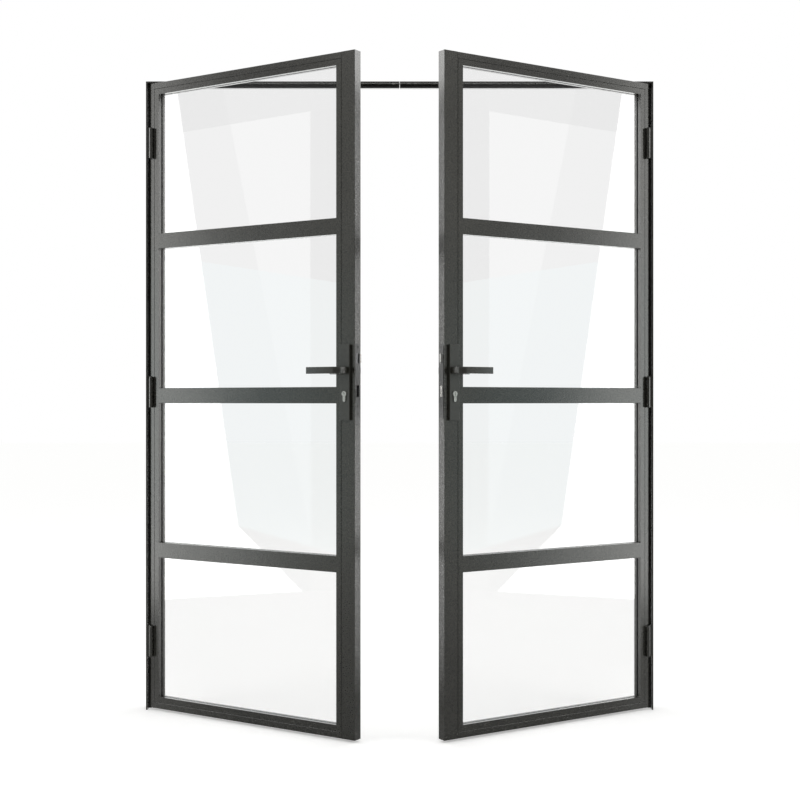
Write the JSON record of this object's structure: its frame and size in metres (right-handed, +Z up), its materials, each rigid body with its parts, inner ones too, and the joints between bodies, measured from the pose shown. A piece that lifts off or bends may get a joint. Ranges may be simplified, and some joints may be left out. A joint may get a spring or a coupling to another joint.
{
  "type": "french doors",
  "caption": "Pair of glazed double doors in dark metal with horizontal glazing bars, on hinges in a narrow rebated frame, with lever handles and a mortise lock",
  "frame": {"origin": "midway between the jambs, on the floor, in the front plane of the frame", "axes": "+X to the viewer's right along the frame, +Y away from the viewer through the doorway, +Z up"},
  "size_m": [1.72, 0.5471, 2.1305],
  "materials": {
    "powder_coat": "fine-textured dark grey powder coat",
    "handle_coat": "smoother dark grey powder coat",
    "edge_plate": "dark grey coat",
    "bright_steel": "nickel plated or zinc plated",
    "glazing_tape": "black foam tape",
    "seal": "black soft seal",
    "glass": "clear float glass"
  },
  "bodies": {
    "frame": {"left_jamb": "powder_coat", "right_jamb": "powder_coat", "left_head": "powder_coat", "right_head": "powder_coat", "left_seal": "seal", "right_seal": "seal", "left_hinge_plates": "powder_coat", "right_hinge_plates": "powder_coat", "left_hinge_pins": "bright_steel", "right_hinge_pins": "bright_steel", "head_splice": "bright_steel", "keep_bush": "bright_steel"},
    "left_leaf": {"left_hinge_stile": "powder_coat", "left_lock_stile": "powder_coat", "left_top_rail": "powder_coat", "left_bottom_rail": "powder_coat", "left_glass": "glass", "left_beads": "powder_coat", "left_front_tape": "glazing_tape", "left_back_tape": "glazing_tape", "left_front_bars": "powder_coat", "left_back_bars": "powder_coat", "left_hinge_barrels": "powder_coat", "left_front_plate": "handle_coat", "left_back_plate": "handle_coat", "left_cylinder": "bright_steel", "left_lock_case": "bright_steel", "left_strike_plate": "edge_plate"},
    "right_leaf": {"right_hinge_stile": "powder_coat", "right_lock_stile": "powder_coat", "right_top_rail": "powder_coat", "right_bottom_rail": "powder_coat", "right_glass": "glass", "right_beads": "powder_coat", "right_front_tape": "glazing_tape", "right_back_tape": "glazing_tape", "right_front_bars": "powder_coat", "right_back_bars": "powder_coat", "right_hinge_barrels": "powder_coat", "right_front_plate": "handle_coat", "right_back_plate": "handle_coat", "right_cylinder": "bright_steel", "right_lock_case": "bright_steel", "right_faceplate": "edge_plate"},
    "left_lever_set": {"left_front_lever": "handle_coat", "left_back_lever": "handle_coat", "left_spindle": "bright_steel"},
    "right_lever_set": {"right_front_lever": "handle_coat", "right_back_lever": "handle_coat", "right_spindle": "bright_steel"},
    "left_key_plug": {"left_plug": "bright_steel"},
    "right_key_plug": {"right_plug": "bright_steel"},
    "left_shoot_bolt_rod": {"left_shoot_bolt": "bright_steel"},
    "right_latch_bolt": {"right_latch": "bright_steel"},
    "right_dead_bolt": {"right_deadbolt": "bright_steel"}
  },
  "joints": [
    {"name": "left_leaf_hinge", "type": "hinge", "parent": "frame", "child": "left_leaf", "pos_m": [-0.841, -0.0073, 1.0655], "axis": [0, 0, -1], "range_deg": [-33.5, 76.5]},
    {"name": "right_leaf_hinge", "type": "hinge", "parent": "frame", "child": "right_leaf", "pos_m": [0.841, -0.0073, 1.0655], "axis": [0, 0, 1], "range_deg": [-33.5, 76.5]},
    {"name": "left_lever", "type": "hinge", "parent": "left_leaf", "child": "left_lever_set", "pos_m": [-0.15519, -0.43328, 1.1415], "axis": [-0.5519, -0.8339, 0], "range_deg": [0, 40], "stiffness_Nm_per_rad": 1, "springref_deg": -34.38},
    {"name": "right_lever", "type": "hinge", "parent": "right_leaf", "child": "right_lever_set", "pos_m": [0.15519, -0.43328, 1.1415], "axis": [-0.5519, 0.8339, 0], "range_deg": [0, 40], "stiffness_Nm_per_rad": 1, "springref_deg": -34.38},
    {"name": "right_latch_slide", "type": "slide", "parent": "right_leaf", "child": "right_latch_bolt", "axis": [0.8339, 0.5519, 0], "range_m": [0, 0.0043]},
    {"name": "left_key", "type": "hinge", "parent": "left_leaf", "child": "left_key_plug", "pos_m": [-0.15519, -0.43328, 1.0695], "axis": [0.5519, 0.8339, 0], "range_deg": [0, 360]},
    {"name": "right_key", "type": "hinge", "parent": "right_leaf", "child": "right_key_plug", "pos_m": [0.15519, -0.43328, 1.0695], "axis": [-0.5519, 0.8339, 0], "range_deg": [0, 360]},
    {"name": "right_deadbolt_slide", "type": "slide", "parent": "right_leaf", "child": "right_dead_bolt", "axis": [-0.8339, -0.5519, 0], "range_m": [0, 0.01295]},
    {"name": "left_shoot_bolt_slide", "type": "slide", "parent": "left_leaf", "child": "left_shoot_bolt_rod", "axis": [0, 0, 1], "range_m": [0, 0.00795]}
  ],
  "couplings": [
    {"joint": "right_latch_slide", "follows": "right_lever", "m_per_rad": 0.0058},
    {"joint": "right_key", "follows": "right_deadbolt_slide", "rad_per_m": 485.1},
    {"joint": "left_key", "follows": "left_shoot_bolt_slide", "rad_per_m": 790.3}
  ]
}
